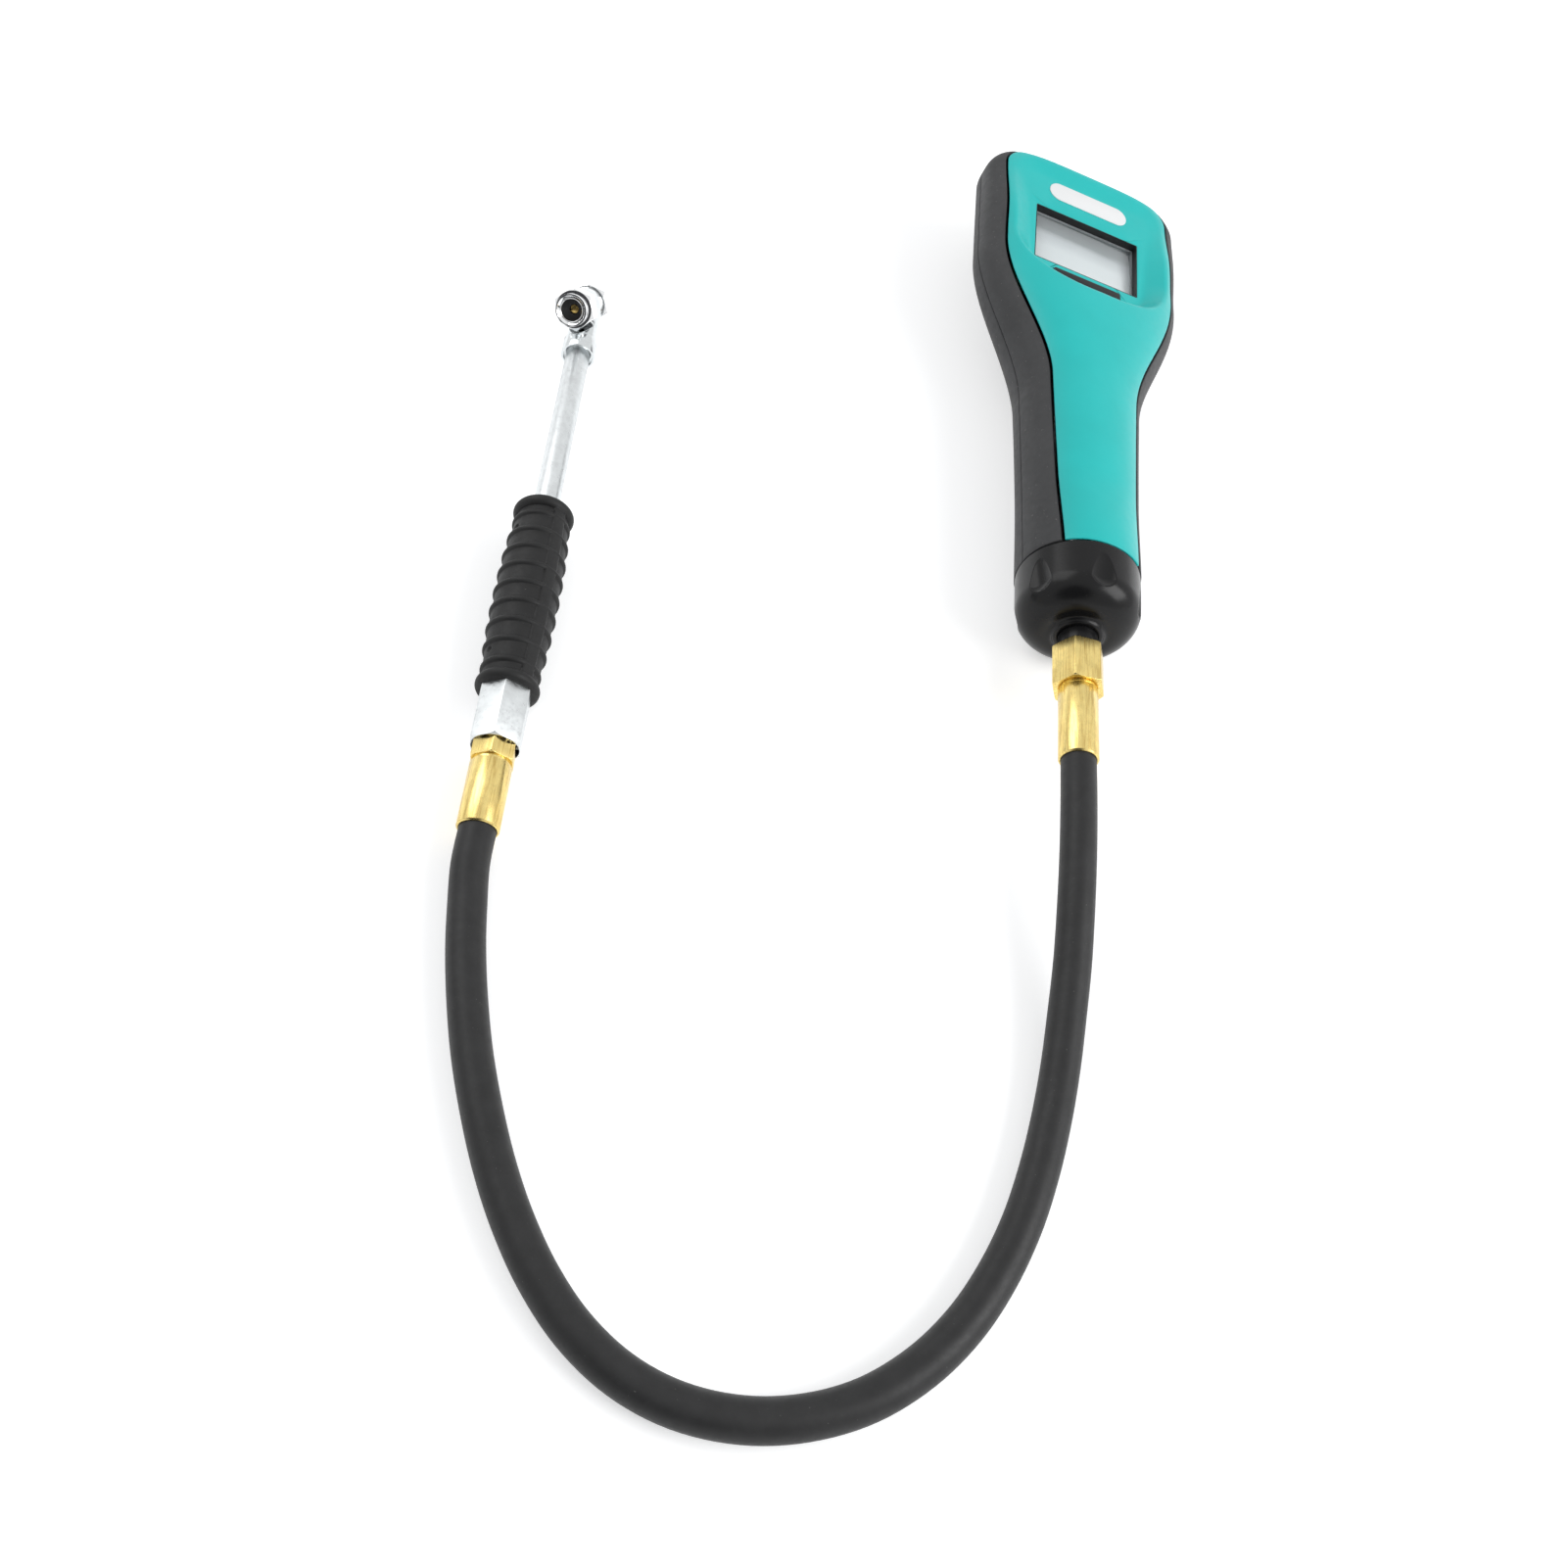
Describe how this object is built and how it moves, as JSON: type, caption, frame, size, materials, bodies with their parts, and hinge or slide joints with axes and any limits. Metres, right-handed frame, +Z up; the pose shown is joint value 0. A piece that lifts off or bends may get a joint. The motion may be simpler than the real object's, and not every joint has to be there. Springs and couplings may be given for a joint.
{
  "type": "tyre inflator with gauge",
  "caption": "Hand-held digital tyre inflator: housing with a display and a squeeze lever, a whip hose, and a gripped wand with a double-ended chuck.",
  "frame": {"origin": "on the surface that the inflator lies on, under the middle of the box round all its pieces but the hose", "axes": "+Z up from that surface, +Y from the hose end towards the head and the chuck, +X from the wand towards the housing"},
  "size_m": [0.2714, 0.578, 0.0541],
  "materials": {
    "teal_plastic": "satin teal moulding",
    "charcoal_plastic": "soft matt charcoal moulding with a fine grain",
    "gloss_black_plastic": "gloss black moulding",
    "lens_clear": "clear window",
    "lcd_grey": "blank grey display glass",
    "label_white": "bare white label",
    "seal_rubber": "black seal rubber",
    "board_green": "circuit board with solder mask",
    "zinc_steel": "zinc-plated steel",
    "spring_steel": "spring and screw steel",
    "chrome_metal": "bright chrome plate",
    "brass_metal": "turned brass with lengthwise tool marks",
    "valve_aluminium": "machined aluminium",
    "tube_nylon": "natural nylon tube",
    "cell_wrap": "printed cell sleeve, left plain",
    "grip_rubber": "ribbed black grip rubber",
    "hose_rubber": "smooth matt hose rubber"
  },
  "bodies": {
    "inflator": {"front_cover": "teal_plastic", "front_shell": "charcoal_plastic", "rear_shell": "charcoal_plastic", "display_lens": "lens_clear", "lens_gasket": "seal_rubber", "lcd_panel": "lcd_grey", "label_plate": "label_white", "circuit_board": "board_green", "board_screws": "spring_steel", "pressure_sensor": "zinc_steel", "battery_tray": "gloss_black_plastic", "batteries": "cell_wrap", "battery_cover": "charcoal_plastic", "battery_screw": "spring_steel", "shell_screws": "spring_steel", "inlet_adapter": "brass_metal", "inlet_filter": "zinc_steel", "air_tube": "tube_nylon", "valve_body": "valve_aluminium", "valve_plug": "brass_metal", "stem_spring": "spring_steel", "lever_pin": "spring_steel", "end_cap": "gloss_black_plastic", "outlet_neck": "gloss_black_plastic", "neck_seal": "seal_rubber", "hose_union": "brass_metal", "gauge_ferrule": "brass_metal", "hose": "hose_rubber", "wand_ferrule": "brass_metal", "hose_insert": "brass_metal", "wand_body": "zinc_steel", "grip_sleeve": "grip_rubber", "steel_tube": "zinc_steel", "chuck_body": "chrome_metal", "front_nut": "chrome_metal", "rear_nut": "chrome_metal", "front_seal": "seal_rubber", "rear_seal": "seal_rubber", "front_pin_spring": "spring_steel", "rear_pin_spring": "spring_steel"},
    "trigger": {"trigger_lever": "gloss_black_plastic"},
    "stem": {"valve_stem": "brass_metal", "stem_seal": "seal_rubber"},
    "button": {"power_button": "gloss_black_plastic"},
    "front_depressor": {"front_pin": "brass_metal"},
    "rear_depressor": {"rear_pin": "brass_metal"}
  },
  "joints": [
    {"name": "trigger_squeeze", "type": "hinge", "parent": "inflator", "child": "trigger", "pos_m": [0.08393, 0.07806, 0.01467], "axis": [-0.972, -0.0059, 0.2351], "range_deg": [0, 5.5], "stiffness_Nm_per_rad": 0.4, "springref_deg": -22.92},
    {"name": "stem_slide", "type": "slide", "parent": "inflator", "child": "stem", "axis": [0.2351, -0.0244, 0.9717], "range_m": [0, 0.0022], "deforming": ["stem_spring"]},
    {"name": "button_press", "type": "slide", "parent": "inflator", "child": "button", "axis": [-0.2349, 0.0697, -0.9695], "range_m": [0, 0.0008], "stiffness_N_per_m": 400, "springref_m": -0.001},
    {"name": "front_pin_slide", "type": "slide", "parent": "inflator", "child": "front_depressor", "axis": [0.1519, 0.8453, -0.5122], "range_m": [0, 0.002], "stiffness_N_per_m": 300, "springref_m": -0.002, "deforming": ["front_pin_spring"]},
    {"name": "rear_pin_slide", "type": "slide", "parent": "inflator", "child": "rear_depressor", "axis": [-0.1519, -0.8453, 0.5122], "range_m": [0, 0.002], "stiffness_N_per_m": 300, "springref_m": -0.002, "deforming": ["rear_pin_spring"]}
  ],
  "couplings": [
    {"joint": "stem_slide", "follows": "trigger_squeeze", "m_per_rad": 0.022}
  ]
}
